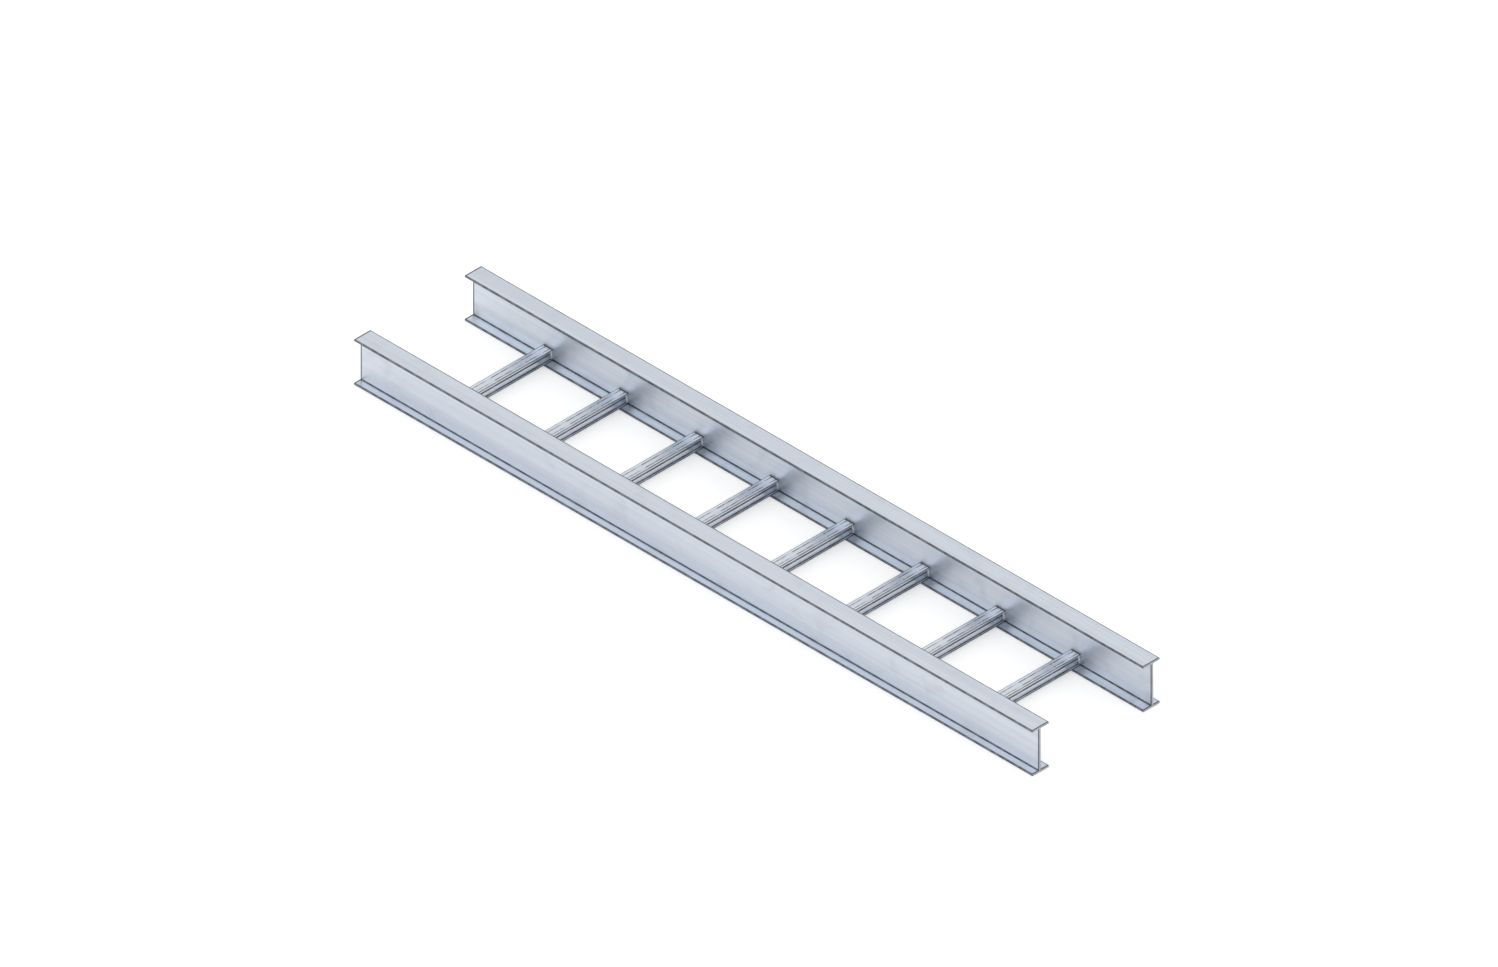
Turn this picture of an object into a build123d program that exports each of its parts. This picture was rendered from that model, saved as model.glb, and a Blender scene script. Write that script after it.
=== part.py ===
from build123d import *
import os

# Cable ladder section: two aluminium I-section side rails, with hollow extruded rungs between their webs.
# Millimetres. +X runs along the ladder, +Y across it and +Z up.
# The origin lies on the surface that the ladder rests on, under the middle of the section.

# Section as a whole
section_length = 1828.8
inside_width = 299.0
rung_spacing = 203.2

# Side rail: an I-section whose flanges reach further inwards, over the cables, than outwards
rail_height = 105.6
web_thickness = 4.2
flange_thickness = 4.2
flange_inside = 22.4
flange_outside = 17.8
flange_edge_radius = 0.6
rail_root_radius = 1.0

# Rung: a hollow extrusion with a flat foot, a body, a narrower neck and a dished head.
# The head's wings rise from a flat strip along its middle and thin out from head_root to head_edge.
rung_width = 25.4
rung_height = 25.4
foot_thickness = 1.6
shoulder_height = 12.7
shoulder_width = 1.6
neck_width = 12.7
head_strip = 11.1
head_dish = 0.8
head_root = 2.0
head_edge = 1.6
rung_wall = 1.6
rung_corner_radius = 0.5
root_clearance = 0.3

web_inner = inside_width / 2
flange_width = flange_inside + web_thickness + flange_outside
flange_middle = web_inner - flange_inside + flange_width / 2

body_width = neck_width + 2 * shoulder_width
strip_height = rung_height - head_dish
neck_top = strip_height - head_root
end_relief = rail_root_radius + root_clearance

rung_count = round(section_length / rung_spacing) - 1
first_rung = -rung_spacing * (rung_count - 1) / 2

os.makedirs("parts", exist_ok=True)


def save(piece, name):
    piece.part.label = name
    export_step(piece.part, f"parts/{name}.step")


# Left side rail: the I-section is drawn across the ladder and extruded from one sawn end to the other
with BuildPart() as side_rail_left:
    with BuildSketch(Plane.YZ.offset(-section_length / 2)) as rail_section:
        for flange_bottom in (0, rail_height - flange_thickness):
            with Locations((flange_middle, flange_bottom)):
                Rectangle(flange_width, flange_thickness, align=(Align.CENTER, Align.MIN))
        with Locations((web_inner, flange_thickness)):
            Rectangle(web_thickness, rail_height - 2 * flange_thickness, align=(Align.MIN, Align.MIN))
        corners = rail_section.vertices().group_by(Axis.X)
        fillet(corners[1] + corners[2], rail_root_radius)
        corners = rail_section.vertices().group_by(Axis.X)
        fillet(corners[0] + corners[-1], flange_edge_radius)
    extrude(amount=section_length)
save(side_rail_left, "side_rail_left")

# Right side rail: the same extrusion the other way round, again with its wider flange side over the cables
with BuildPart() as side_rail_right:
    mirror(side_rail_left.part, about=Plane.XZ)
save(side_rail_right, "side_rail_right")

# Rung section: it stands on its foot, with its height along the sketch's Y.
# Every corner is eased except the two ends of the flat strip, where the wings leave it at a tangent.
with BuildSketch() as rung_section:
    for width, top in ((rung_width, foot_thickness), (body_width, shoulder_height), (neck_width, neck_top)):
        Rectangle(width, top, align=(Align.CENTER, Align.MIN))
    with BuildLine():
        strip = Line((-head_strip / 2, strip_height), (head_strip / 2, strip_height))
        right_wing = TangentArc(strip @ 1, (rung_width / 2, rung_height), tangent=(1, 0))
        left_wing = TangentArc(strip @ 0, (-rung_width / 2, rung_height), tangent=(-1, 0))
        Polyline(
            right_wing @ 1,
            (rung_width / 2, rung_height - head_edge),
            (neck_width / 2, neck_top),
            (-neck_width / 2, neck_top),
            (-rung_width / 2, rung_height - head_edge),
            left_wing @ 1,
        )
    make_face()
    corners = rung_section.vertices()
    strip_ends = corners.group_by(Axis.Y)[-2]
    fillet(corners - strip_ends, rung_corner_radius)
    with Locations((0, foot_thickness)):
        for width, top in ((body_width, shoulder_height), (neck_width, strip_height)):
            Rectangle(
                width - 2 * rung_wall,
                top - rung_wall - foot_thickness,
                align=(Align.CENTER, Align.MIN),
                mode=Mode.SUBTRACT,
            )

# Rungs: each is cut to the width between the webs, stands on both bottom flanges and butts against both webs.
# The foot's ends are bevelled where the root radius of the rail would foul them.
for number in range(1, rung_count + 1):
    rung_x = first_rung + rung_spacing * (number - 1)
    with BuildPart() as rung:
        with BuildSketch(Plane.XZ.offset(-web_inner)):
            with Locations((rung_x, flange_thickness)):
                add(rung_section.sketch)
        extrude(amount=inside_width)
        with BuildSketch(Plane.YZ.offset(rung_x)):
            for side in (1, -1):
                Polygon(
                    (side * web_inner, flange_thickness),
                    (side * (web_inner - end_relief), flange_thickness),
                    (side * web_inner, flange_thickness + end_relief),
                )
        extrude(amount=rung_width, both=True, mode=Mode.SUBTRACT)
    save(rung, f"rung_{number}")
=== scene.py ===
import bmesh
import bpy
import math
import random
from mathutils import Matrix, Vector


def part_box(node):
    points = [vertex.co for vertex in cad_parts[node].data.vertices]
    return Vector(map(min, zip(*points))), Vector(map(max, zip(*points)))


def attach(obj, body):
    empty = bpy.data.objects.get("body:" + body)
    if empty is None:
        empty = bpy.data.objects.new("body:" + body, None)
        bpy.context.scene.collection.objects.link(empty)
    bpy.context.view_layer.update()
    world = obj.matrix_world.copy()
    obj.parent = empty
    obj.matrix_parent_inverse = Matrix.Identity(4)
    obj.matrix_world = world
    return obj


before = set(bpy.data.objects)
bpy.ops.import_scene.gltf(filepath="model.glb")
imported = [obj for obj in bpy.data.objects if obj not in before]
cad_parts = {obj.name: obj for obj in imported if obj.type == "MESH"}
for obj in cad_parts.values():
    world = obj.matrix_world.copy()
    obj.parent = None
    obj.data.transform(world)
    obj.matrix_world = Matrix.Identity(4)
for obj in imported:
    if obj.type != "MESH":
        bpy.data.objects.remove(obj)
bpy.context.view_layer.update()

# ---- Side rails ----------------------------------------------------------------------------------
# Two I-section rails, extruded in aluminium, left in mill finish and sawn square at both ends. The
# die leaves fine lines and wider bands along them, and handling leaves smudges and scratches. Every
# corner is darkened: oxide on the outer edges, and painted shade in the roots of web and flange.
rail_low, rail_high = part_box("side_rail_left")
rail_end = rail_high.x
rail_middle = (rail_low.z + rail_high.z) / 2
flange_middle = (rail_low.y + rail_high.y) / 2
flange_half = (rail_high.y - rail_low.y) / 2
flange_thickness = 0.0042
web_inner = 0.1495
web_outer = 0.1537
rung_spacing = 0.2032
rail_pale = (0.768, 0.816, 0.885, 1)
rail_deep = (0.672, 0.722, 0.800, 1)
scratch_bright = (0.89, 0.92, 0.98, 1)
oxide_and_shade_dark = (0.075, 0.081, 0.095, 1)
smudge_grey = (0.56, 0.59, 0.64, 1)
bloom_grey = (0.62, 0.65, 0.68, 1)
rail_dullness = 0.33
line_depth = 0.00002
bump_strength = 0.5
end_mark_inner = 0.0038
end_mark_outer = 0.0022


def node(tree, kind, sockets=None, **settings):
    """Adds a shader node, with its settings, and its inputs filled or linked."""
    made = tree.nodes.new("ShaderNode" + kind)
    for name, value in settings.items():
        setattr(made, name, value)
    for key, value in (sockets or {}).items():
        if isinstance(value, bpy.types.NodeSocket):
            tree.links.new(value, made.inputs[key])
        else:
            made.inputs[key].default_value = value
    return made


def maths(tree, operation, first, second=0.0):
    """The result of one sum on two values."""
    return node(tree, "Math", {0: first, 1: second}, operation=operation).outputs[0]


def ramp(tree, value, low, high, to_low=0.0, to_high=1.0):
    """Takes a value from the range low to high over to another range, smoothly."""
    spans = {"From Min": low, "From Max": high, "To Min": to_low, "To Max": to_high}
    sockets = {"Value": value, **spans}
    return node(tree, "MapRange", sockets, interpolation_type="SMOOTHSTEP").outputs["Result"]


def effect_group(name, inputs, outputs):
    """An empty shader node group, whose named sockets are Float, Vector or Color."""
    group = bpy.data.node_groups.new(name, "ShaderNodeTree")
    for direction, sockets in (("INPUT", inputs), ("OUTPUT", outputs)):
        for label, kind in sockets.items():
            socket_type = "NodeSocket" + kind
            group.interface.new_socket(name=label, in_out=direction, socket_type=socket_type)
    given = group.nodes.new("NodeGroupInput").outputs
    result = group.nodes.new("NodeGroupOutput").inputs
    return group, given, result


# Die lines: noise drawn out along the extrusion, as fine lines and as wider bands.
die_lines, given, result = effect_group(
    "die_lines",
    {"Place": "Vector", "Run": "Float", "Fine": "Float", "Broad": "Float"},
    {"Lines": "Float", "Bands": "Float"},
)
for width, detail, label in (("Fine", 3.0, "Lines"), ("Broad", 2.0, "Bands")):
    size = node(
        die_lines, "CombineXYZ", {"X": given["Run"], "Y": given[width], "Z": 1.0}
    ).outputs[0]
    drawn = node(
        die_lines, "VectorMath", {0: given["Place"], 1: size}, operation="DIVIDE"
    ).outputs[0]
    streaks = node(
        die_lines,
        "TexNoise",
        {"Vector": drawn, "Scale": 1.0, "Detail": detail},
        noise_dimensions="2D",
    ).outputs[0]
    die_lines.links.new(ramp(die_lines, streaks, 0.28, 0.72), result[label])

# Handling: soft smudges, and thin scratches in two directions within patches.
scratch_size = (0.028, 0.0005, 1.0)
scratch_turns = (0.32, -0.75)
handling, given, result = effect_group(
    "handling", {"Place": "Vector", "Patch": "Float"}, {"Smudge": "Float", "Scratch": "Float"}
)
patches = node(
    handling,
    "TexNoise",
    {
        "Vector": given["Place"],
        "Scale": maths(handling, "DIVIDE", 1.0, given["Patch"]),
        "Detail": 4.0,
        "Distortion": 0.5,
    },
    noise_dimensions="2D",
).outputs[0]
handling.links.new(ramp(handling, patches, 0.50, 0.78), result["Smudge"])
scratches = 0.0
for turn in scratch_turns:
    turned = node(
        handling, "VectorRotate", {"Vector": given["Place"], "Angle": turn}, rotation_type="Z_AXIS"
    ).outputs[0]
    thin = node(
        handling, "VectorMath", {0: turned, 1: scratch_size}, operation="DIVIDE"
    ).outputs[0]
    strokes = node(
        handling, "TexNoise", {"Vector": thin, "Scale": 1.0, "Detail": 1.0}, noise_dimensions="2D"
    ).outputs[0]
    scratches = maths(handling, "MAXIMUM", ramp(handling, strokes, 0.74, 0.80), scratches)
scratched = ramp(handling, patches, 0.35, 0.6)
handling.links.new(maths(handling, "MULTIPLY", scratches, scratched), result["Scratch"])

# Corner mark: how near a point of a section is to one of its corners, broken up along its length.
# Used at inner corners this mark is painted shade; at outer corners it is a dark oxide line.
gap_scale = 45.0
corner_mark, given, result = effect_group(
    "corner_mark",
    {"Section": "Vector", "Corner": "Vector", "Along": "Float", "Reach": "Float", "Gaps": "Float"},
    {"Mark": "Float"},
)
off = node(
    corner_mark, "VectorMath", {0: given["Section"], 1: given["Corner"]}, operation="DISTANCE"
).outputs["Value"]
close = ramp(corner_mark, maths(corner_mark, "DIVIDE", off, given["Reach"]), 1.0, 0.5)
uneven = node(
    corner_mark,
    "TexNoise",
    {"W": given["Along"], "Scale": gap_scale, "Detail": 4.0},
    noise_dimensions="1D",
).outputs[0]
missing = maths(corner_mark, "MULTIPLY", given["Gaps"], ramp(corner_mark, uneven, 0.62, 0.35))
unbroken = maths(corner_mark, "SUBTRACT", 1.0, missing)
corner_mark.links.new(maths(corner_mark, "MULTIPLY", close, unbroken), result["Mark"])


def off_rung(tree, along):
    """How far a point along the ladder is from the middle of the nearest rung."""
    half = rung_spacing / 2
    shifted = maths(tree, "SUBTRACT", along, half)
    wrapped = node(tree, "Math", {0: shifted, 1: half, 2: -half}, operation="WRAP").outputs[0]
    return maths(tree, "ABSOLUTE", wrapped)


# Weld bloom: the dull zone round the upright welds at both sides of each rung end.
bloom_reach = 0.015
bloom_half_width = 0.008
bloom_bottom = 0.006
bloom_top = 0.025
bloom_depth = 0.002
bloom_grain = 260.0
weld_bloom, given, result = effect_group(
    "weld_bloom", {"Position": "Vector", "Reach": "Float"}, {"Bloom": "Float"}
)
spot = node(weld_bloom, "SeparateXYZ", {0: given["Position"]}).outputs
off_side = maths(weld_bloom, "SUBTRACT", off_rung(weld_bloom, spot["X"]), bloom_half_width)
off_web = maths(weld_bloom, "SUBTRACT", maths(weld_bloom, "ABSOLUTE", spot["Y"]), web_inner)
held = node(
    weld_bloom, "Clamp", {"Value": spot["Z"], "Min": bloom_bottom, "Max": bloom_top}
).outputs[0]
off_height = maths(weld_bloom, "SUBTRACT", spot["Z"], held)
away = node(weld_bloom, "CombineXYZ", {"X": off_side, "Y": off_web, "Z": off_height}).outputs[0]
distance = node(weld_bloom, "VectorMath", {0: away}, operation="LENGTH").outputs["Value"]
ragged = node(
    weld_bloom, "TexNoise", {"Vector": given["Position"], "Scale": bloom_grain, "Detail": 3.0}
).outputs[0]
raggedness = ramp(weld_bloom, ragged, 0.25, 0.75, 0.65, 1.2)
reached = maths(weld_bloom, "MULTIPLY", given["Reach"], raggedness)
bloom = ramp(weld_bloom, maths(weld_bloom, "DIVIDE", distance, reached), 1.0, 0.25)
inside = maths(weld_bloom, "LESS_THAN", off_web, bloom_depth)
weld_bloom.links.new(maths(weld_bloom, "MULTIPLY", bloom, inside), result["Bloom"])


def weighed(tree, *parts):
    """Adds up values, each times its own weight."""
    total = 0.0
    for value, weight in parts:
        sockets = {0: value, 1: weight, 2: total}
        total = node(tree, "Math", sockets, operation="MULTIPLY_ADD").outputs[0]
    return total


def tint(tree, amount, under, over):
    """One colour laid over another, as strongly as the amount says."""
    return node(tree, "Mix", {0: amount, 6: under, 7: over}, data_type="RGBA").outputs[2]


# Mill finish: what every extruded face here has in common, over two tones of its own aluminium.
mill_finish, given, result = effect_group(
    "mill_finish",
    {
        "Pale": "Color",
        "Deep": "Color",
        "Tone": "Float",
        "Dull": "Float",
        "Lines": "Float",
        "Smudge": "Float",
        "Bloom": "Float",
        "Scratch": "Float",
        "Oxide and shade": "Float",
    },
    {"Colour": "Color", "Roughness": "Float", "Height": "Float"},
)
colour = tint(mill_finish, given["Tone"], given["Deep"], given["Pale"])
# The oxide mark darkens towards near black: oxide lines on edges and joints, painted shade in inner
# corners.
for mark, strength, over in (
    ("Smudge", 0.20, smudge_grey),
    ("Bloom", 0.45, bloom_grey),
    ("Scratch", 0.35, scratch_bright),
    ("Oxide and shade", 0.90, oxide_and_shade_dark),
):
    colour = tint(mill_finish, maths(mill_finish, "MULTIPLY", given[mark], strength), colour, over)
mill_finish.links.new(colour, result["Colour"])
rough = weighed(
    mill_finish,
    (given["Dull"], 1.0),
    (given["Lines"], 0.09),
    (given["Smudge"], 0.10),
    (given["Bloom"], 0.16),
    (given["Oxide and shade"], 0.16),
    (given["Scratch"], -0.10),
)
mill_finish.links.new(rough, result["Roughness"])
relief = weighed(mill_finish, (given["Lines"], 0.5), (given["Scratch"], -0.8))
mill_finish.links.new(relief, result["Height"])


def bare_metal(name):
    """Starts a metal: the material, its tree and the place that is being shaded, in metres."""
    made = bpy.data.materials.new(name)
    made.use_nodes = True
    made.node_tree.nodes["Principled BSDF"].inputs["Metallic"].default_value = 1.0
    return made, made.node_tree, node(made.node_tree, "TexCoord").outputs["Object"]


def surface_metal(tree, colour, roughness, height, depth):
    """Ends a metal: its colour, roughness and relief go to its shader."""
    shader = tree.nodes["Principled BSDF"].inputs
    tree.links.new(colour, shader["Base Color"])
    tree.links.new(roughness, shader["Roughness"])
    bump = node(tree, "Bump", {"Strength": bump_strength, "Distance": depth, "Height": height})
    tree.links.new(bump.outputs[0], shader["Normal"])


def placed(tree, group, sockets):
    """Puts an effect group into a material and returns its outputs."""
    return node(tree, "Group", sockets, node_tree=group).outputs


def marks_at(tree, section, along, corners, reach, gaps):
    """The strongest of the marks at several corners of a section."""
    strongest = 0.0
    for corner in corners:
        sockets = {"Section": section, "Corner": (*corner, 0), "Along": along}
        sockets.update({"Reach": reach, "Gaps": gaps})
        strongest = maths(tree, "MAXIMUM", placed(tree, corner_mark, sockets)["Mark"], strongest)
    return strongest


def end_mark(tree, along, end):
    """A dark line where an extrusion ends, that far from the middle of the ladder."""
    off_end = maths(tree, "SUBTRACT", end, maths(tree, "ABSOLUTE", along))
    return ramp(tree, off_end, end_mark_inner, end_mark_outer)


rail_metal, tree, position = bare_metal("mill_finish_rail")
spot = node(tree, "SeparateXYZ", {0: position}).outputs
round_section = maths(tree, "ADD", spot["Y"], spot["Z"])
place = node(tree, "CombineXYZ", {"X": spot["X"], "Y": round_section}).outputs[0]
drawn = placed(tree, die_lines, {"Place": place, "Run": 1.6, "Fine": 0.0008, "Broad": 0.010})
marks = placed(tree, handling, {"Place": place, "Patch": 0.06})
bloom = placed(tree, weld_bloom, {"Position": position, "Reach": bloom_reach})["Bloom"]

# The section is folded over on itself, so that one corner stands for all that mirror it.
off_centre = maths(tree, "ABSOLUTE", spot["Y"])
outwards = maths(tree, "SUBTRACT", off_centre, flange_middle)
off_middle = maths(tree, "ABSOLUTE", maths(tree, "SUBTRACT", spot["Z"], rail_middle))
section = node(tree, "CombineXYZ", {"X": outwards, "Y": off_middle}).outputs[0]
flange_root = rail_middle - flange_thickness
heights = (rail_middle, flange_root)
corners = [(side * flange_half, height) for side in (1, -1) for height in heights]
# The corners at the roots of the web are painted shade; the others are dark oxide lines.
corners += [(face - flange_middle, flange_root) for face in (web_inner, web_outer)]
oxide_and_shade = marks_at(tree, section, spot["X"], corners, reach=0.0030, gaps=0.15)
oxide_and_shade = maths(tree, "MAXIMUM", oxide_and_shade, end_mark(tree, spot["X"], rail_end))

# Sawn ends: arcs of a large saw blade across the faces that look along the rail, evenly dulled.
end_facing = 0.9
sawn_oxide = 0.55
saw_teeth = 1500.0
saw_shine = 0.3
saw_relief = 1.5
blade_middle = (0.06, -0.11, 0.0)
facing = node(tree, "SeparateXYZ", {0: node(tree, "TexCoord").outputs["Normal"]}).outputs["X"]
sawn = maths(tree, "GREATER_THAN", maths(tree, "ABSOLUTE", facing), end_facing)
skin_oxide = maths(tree, "MULTIPLY", oxide_and_shade, maths(tree, "SUBTRACT", 1.0, sawn))
oxide_and_shade = weighed(tree, (skin_oxide, 1.0), (sawn, sawn_oxide))
across = node(tree, "CombineXYZ", {"X": off_centre, "Y": spot["Z"]}).outputs[0]
radius = node(
    tree, "VectorMath", {0: across, 1: blade_middle}, operation="DISTANCE"
).outputs["Value"]
teeth = node(
    tree, "TexNoise", {"W": radius, "Scale": saw_teeth, "Detail": 2.0}, noise_dimensions="1D"
).outputs[0]
saw_lines = maths(tree, "MULTIPLY", ramp(tree, teeth, 0.3, 0.7), sawn)

finish = placed(
    tree,
    mill_finish,
    {
        "Pale": rail_pale,
        "Deep": rail_deep,
        "Tone": weighed(tree, (drawn["Lines"], 0.4), (drawn["Bands"], 0.6)),
        "Dull": rail_dullness,
        "Lines": drawn["Lines"],
        "Smudge": marks["Smudge"],
        "Bloom": bloom,
        "Scratch": marks["Scratch"],
        "Oxide and shade": oxide_and_shade,
    },
)
shine = maths(tree, "MULTIPLY", saw_lines, saw_shine)
colour = tint(tree, shine, finish["Colour"], scratch_bright)
height = weighed(tree, (finish["Height"], 1.0), (saw_lines, saw_relief))
surface_metal(tree, colour, finish["Roughness"], height, line_depth)

for side in ("left", "right"):
    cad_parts[f"side_rail_{side}"].material_slots[0].material = rail_metal

# ---- Rungs ---------------------------------------------------------------------------------------
# Eight hollow extruded rungs with a dished head, a waisted neck and a flat foot, cut to the width
# between the webs. They come from another die, so their lines run across the ladder, each length
# has its own slight shade, and oxide darkens the joint at each end.
rung_pale = (0.846, 0.890, 0.955, 1)
rung_deep = (0.744, 0.792, 0.868, 1)
rung_dullness = 0.31
rung_half = 0.0127
neck_half = 0.00635
body_half = 0.00795
strip_half = 0.00555
foot_bottom = 0.0042
foot_top = 0.0058
shoulder = 0.0169
neck_top = 0.0269
head_edge = 0.0279
head_strip = 0.0288
head_top = 0.0295

rung_metal, tree, position = bare_metal("mill_finish_rung")
spot = node(tree, "SeparateXYZ", {0: position}).outputs
round_section = maths(tree, "ADD", spot["X"], spot["Z"])
place = node(tree, "CombineXYZ", {"X": spot["Y"], "Y": round_section}).outputs[0]
drawn = placed(tree, die_lines, {"Place": place, "Run": 0.5, "Fine": 0.0006, "Broad": 0.0045})
marks = placed(tree, handling, {"Place": place, "Patch": 0.035})
bloom = placed(tree, weld_bloom, {"Position": position, "Reach": bloom_reach})["Bloom"]

# Every rung has the same section, which is folded over on itself too.
section = node(tree, "CombineXYZ", {"X": off_rung(tree, spot["X"]), "Y": spot["Z"]}).outputs[0]
corners = [(rung_half, height) for height in (head_top, head_edge, foot_top, foot_bottom)]
# Painted shade: the roots under the head, at the shoulder and above the foot are darkened as if
# shaded.
painted_shade_corners = [(neck_half, neck_top), (neck_half, shoulder), (body_half, foot_top)]
strip_edges = [(strip_half, head_strip)]
oxide_and_shade = end_mark(tree, spot["Y"], web_inner)
for mark in (
    marks_at(tree, section, spot["Y"], corners, reach=0.0019, gaps=0.25),
    marks_at(tree, section, spot["Y"], painted_shade_corners, reach=0.0022, gaps=0.20),
    marks_at(tree, section, spot["Y"], strip_edges, reach=0.0015, gaps=0.85),
):
    oxide_and_shade = maths(tree, "MAXIMUM", oxide_and_shade, mark)

which = maths(tree, "FLOOR", maths(tree, "DIVIDE", spot["X"], rung_spacing))
shade = node(tree, "TexWhiteNoise", {"W": which}, noise_dimensions="1D").outputs["Value"]
finish = placed(
    tree,
    mill_finish,
    {
        "Pale": rung_pale,
        "Deep": rung_deep,
        "Tone": weighed(tree, (drawn["Lines"], 0.35), (drawn["Bands"], 0.40), (shade, 0.25)),
        "Dull": rung_dullness,
        "Lines": drawn["Lines"],
        "Smudge": marks["Smudge"],
        "Bloom": bloom,
        "Scratch": marks["Scratch"],
        "Oxide and shade": oxide_and_shade,
    },
)
surface_metal(tree, finish["Colour"], finish["Roughness"], finish["Height"], line_depth)

rung_names = sorted(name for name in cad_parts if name.startswith("rung_"))
for name in rung_names:
    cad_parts[name].material_slots[0].material = rung_metal

# ---- Welds ---------------------------------------------------------------------------------------
# Each rung end is held to the web by two small fillet beads of aluminium filler, one up each side.
# A bead starts on the foot, climbs the body, crosses the shoulder and dies out under the head, and
# is rippled where the pool froze step by step.
weld_pale = (0.79, 0.83, 0.89, 1)
weld_deep = (0.60, 0.64, 0.70, 1)
weld_shiniest = 0.36
weld_dullest = 0.52
weld_smudge = 0.4
weld_grain = 2600.0
weld_grain_depth = 0.00005
bead_leg = 0.0030
bead_sink = 0.0002
bead_ripple = 0.0013
bead_step = 0.0003
bead_taper = 0.0018
bead_tip = 0.5
bead_around = 9
bead_rounding = 6
bead_unevenness = 0.015
bead_bulge = 0.24
bead_wave = 0.11
bead_lag = 0.45
bead_crest = 0.7
bead_corners = [(body_half, 0.0050), (body_half, 0.0163)]
bead_corners += [(neck_half, 0.0176), (neck_half, 0.0272)]

bead_line = []
for (x0, z0), (x1, z1) in zip(bead_corners, bead_corners[1:]):
    count = max(1, round(math.hypot(x1 - x0, z1 - z0) / bead_step))
    for i in range(count):
        bead_line.append(Vector((x0 + (x1 - x0) * i / count, z0 + (z1 - z0) * i / count)))
for _ in range(bead_rounding):
    threes = zip(bead_line, bead_line[1:], bead_line[2:])
    bead_line[1:-1] = [(before + here + after) / 3 for before, here, after in threes]

weld_metal, tree, position = bare_metal("weld_metal")
smudge = placed(tree, handling, {"Place": position, "Patch": 0.006})["Smudge"]
grain = node(tree, "TexNoise", {"Vector": position, "Scale": weld_grain, "Detail": 3.0}).outputs[0]
colour = tint(tree, ramp(tree, grain, 0.3, 0.7), weld_deep, weld_pale)
colour = tint(tree, maths(tree, "MULTIPLY", smudge, weld_smudge), colour, smudge_grey)
roughness = ramp(tree, grain, 0.2, 0.8, weld_shiniest, weld_dullest)
surface_metal(tree, colour, roughness, grain, weld_grain_depth)

chance = random.Random(11)


def bead_rows(rung_middle, flank, side):
    """The rings of points of one bead, up one flank of a rung and on the rail of one side."""
    start = chance.random()
    last = len(bead_line) - 1
    rows = []
    for step, (out_x, height) in enumerate(bead_line):
        share = min(1.0, min(step, last - step) * bead_step / bead_taper)
        unevenness = chance.uniform(1 - bead_unevenness, 1 + bead_unevenness)
        leg = bead_leg * (bead_tip + (1 - bead_tip) * math.sqrt(share)) * unevenness
        row = [(-bead_sink, bead_sink)]
        for k in range(bead_around):
            turn = math.pi / 2 * k / (bead_around - 1)
            bulge = math.sin(2 * turn)
            phase = (step * bead_step / bead_ripple + start + bead_lag * bulge) % 1.0
            ripple = (1 - abs(2 * phase - 1)) ** bead_crest
            size = leg * (1 + bulge * (bead_bulge + bead_wave * ripple))
            size /= math.cos(turn) + math.sin(turn)
            row.append((size * math.cos(turn) - bead_sink, bead_sink - size * math.sin(turn)))
        rows.append(
            [(rung_middle + flank * (out_x + x), side * (web_inner + y), height) for x, y in row]
        )
    return rows


for name in rung_names:
    low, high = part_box(name)
    for side, side_name in ((1, "left"), (-1, "right")):
        beads = bmesh.new()
        for flank in (1, -1):
            rows = bead_rows((low.x + high.x) / 2, flank, side)
            rings = [[beads.verts.new(point) for point in row] for row in rows]
            for lower, upper in zip(rings, rings[1:]):
                for k in range(len(lower)):
                    after = (k + 1) % len(lower)
                    beads.faces.new((lower[k], lower[after], upper[after], upper[k]))
            beads.faces.new(rings[0])
            beads.faces.new(rings[-1])
        bmesh.ops.recalc_face_normals(beads, faces=beads.faces)
        for face in beads.faces:
            face.smooth = len(face.verts) == 4
        mesh = bpy.data.meshes.new(f"weld_{name}_{side_name}")
        beads.to_mesh(mesh)
        beads.free()
        mesh.materials.append(weld_metal)
        weld = bpy.data.objects.new(mesh.name, mesh)
        bpy.context.scene.collection.objects.link(weld)
        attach(weld, "root")

# ---- Floor ---------------------------------------------------------------------------------------
# A plain white studio floor, a hair under the rails. It keeps the soft shadow of the ladder. Over
# its own colour it has one lift that only the camera sees, and a smaller one for reflections.
floor_half = 30.0
floor_height = -0.0002
floor_colour = (0.79, 0.79, 0.79, 1)
seen_lift = 0.42
mirrored_lift = 0.26
floor_corners = [(-1, -1), (1, -1), (1, 1), (-1, 1)]

floor_mesh = bpy.data.meshes.new("studio_floor")
floor_points = [(x * floor_half, y * floor_half, floor_height) for x, y in floor_corners]
floor_mesh.from_pydata(floor_points, [], [(0, 1, 2, 3)])
floor = bpy.data.objects.new("studio_floor", floor_mesh)
bpy.context.scene.collection.objects.link(floor)
floor_white = bpy.data.materials.new("floor_white")
floor_white.use_nodes = True
tree = floor_white.node_tree
tree.nodes.clear()
rays = node(tree, "LightPath").outputs
mirrored = maths(tree, "MAXIMUM", rays["Is Glossy Ray"], rays["Is Transmission Ray"])
matt = node(tree, "BsdfDiffuse", {"Color": floor_colour})
lifted = weighed(tree, (rays["Is Camera Ray"], seen_lift), (mirrored, mirrored_lift))
lift = node(tree, "Emission", {"Color": (1, 1, 1, 1), "Strength": lifted})
both = node(tree, "AddShader", {0: matt.outputs[0], 1: lift.outputs[0]})
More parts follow.
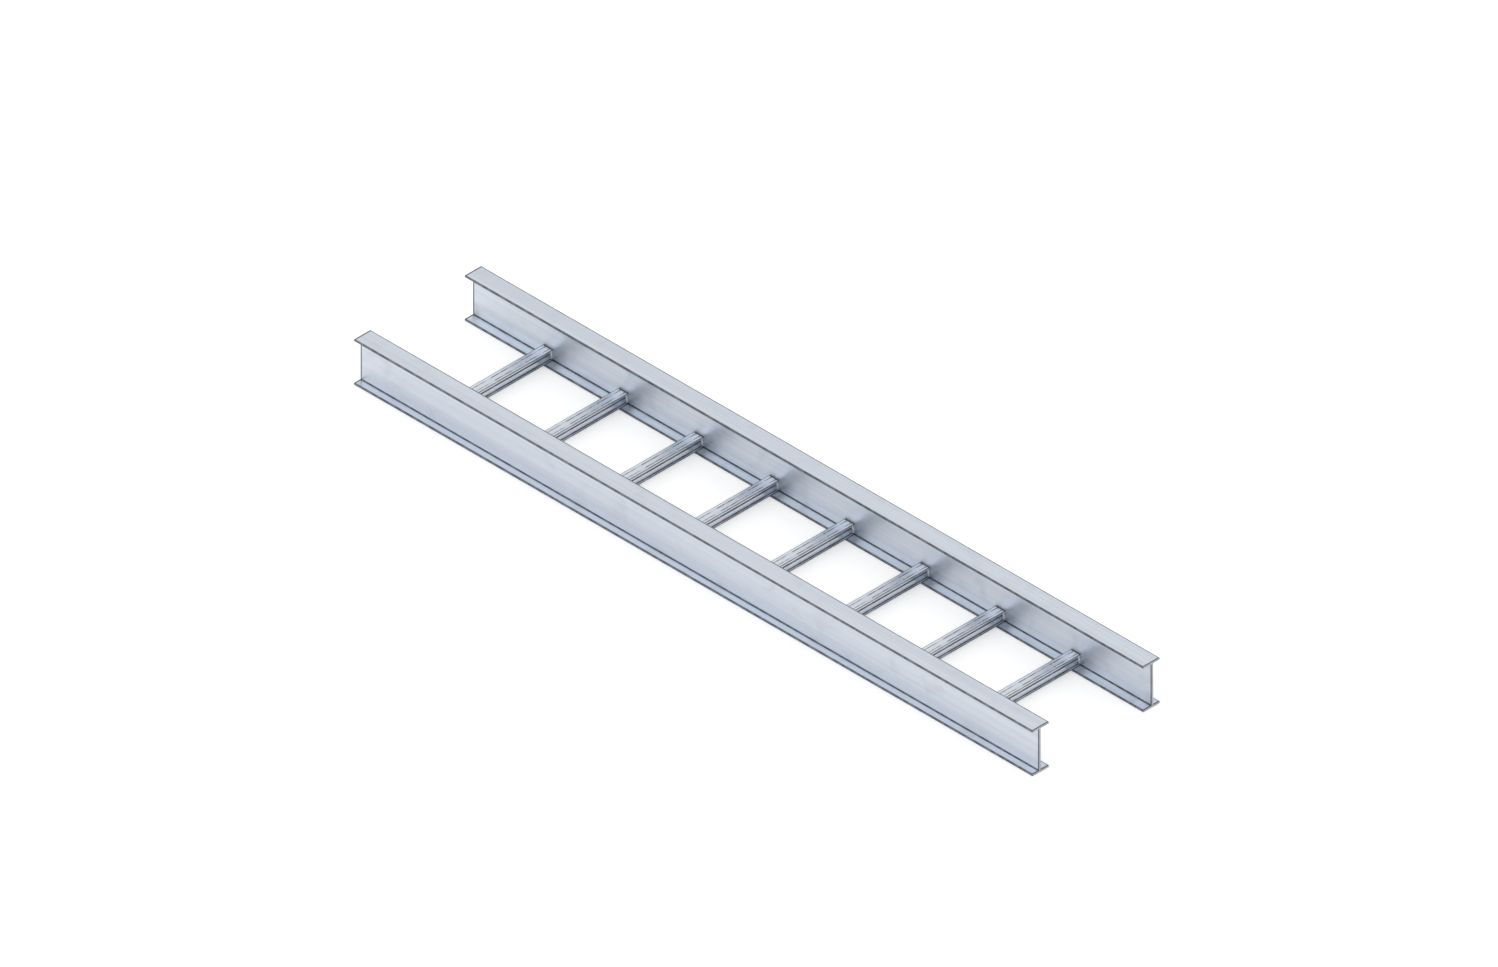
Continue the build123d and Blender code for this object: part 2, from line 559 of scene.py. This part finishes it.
node(tree, "OutputMaterial", {"Surface": both.outputs[0]})
floor_mesh.materials.append(floor_white)

# ---- Light and camera ----------------------------------------------------------------------------
# Large soft boxes over and beside the ladder, and an even room that is white to the camera. The
# camera has no perspective and looks along the cube diagonal, so that the ladder's three directions
# are foreshortened alike.
soft_boxes = {
    "key_box": {"at": Vector((1.6, 1.9, 6.0)), "size": 7.0, "watts": 25.0},
    "fill_box": {"at": Vector((-4.4, -5.2, 4.4)), "size": 10.0, "watts": 104.0},
}
ladder_middle = Vector((0, 0, 0.05))
room_strength = 0.833
view_width = 2.8549
view_distance = 6.0
picture_rise = 0.1149
picture_shift = -0.01505

world = bpy.data.worlds.new("studio")
bpy.context.scene.world = world
world.use_nodes = True
tree = world.node_tree
tree.nodes.clear()
seen = node(tree, "LightPath").outputs["Is Camera Ray"]
brightness = maths(tree, "MAXIMUM", seen, room_strength)
room = node(tree, "Background", {"Color": (1, 1, 1, 1), "Strength": brightness})
node(tree, "OutputWorld", {"Surface": room.outputs[0]})

for name, soft_box in soft_boxes.items():
    lamp = bpy.data.lights.new(name, "AREA")
    lamp.size = soft_box["size"]
    lamp.energy = soft_box["watts"]
    box = bpy.data.objects.new(name, lamp)
    bpy.context.scene.collection.objects.link(box)
    box.location = soft_box["at"]
    box.rotation_mode = "QUATERNION"
    box.rotation_quaternion = (ladder_middle - soft_box["at"]).to_track_quat("-Z", "Y")

right = Vector((1, 1, 0)).normalized()
up = Vector((-1, 1, 2)).normalized()
back = Vector((1, -1, 1)).normalized()
picture_middle = up * picture_rise + right * picture_shift
lens = bpy.data.cameras.new("camera")
lens.type = "ORTHO"
lens.ortho_scale = view_width
lens.clip_start = 0.1
lens.clip_end = 100.0
camera = bpy.data.objects.new("camera", lens)
bpy.context.scene.collection.objects.link(camera)
camera.location = picture_middle + back * view_distance
camera.rotation_mode = "QUATERNION"
camera.rotation_quaternion = (-back).to_track_quat("-Z", "Y")
bpy.context.scene.camera = camera
bpy.context.scene.view_settings.view_transform = "Standard"
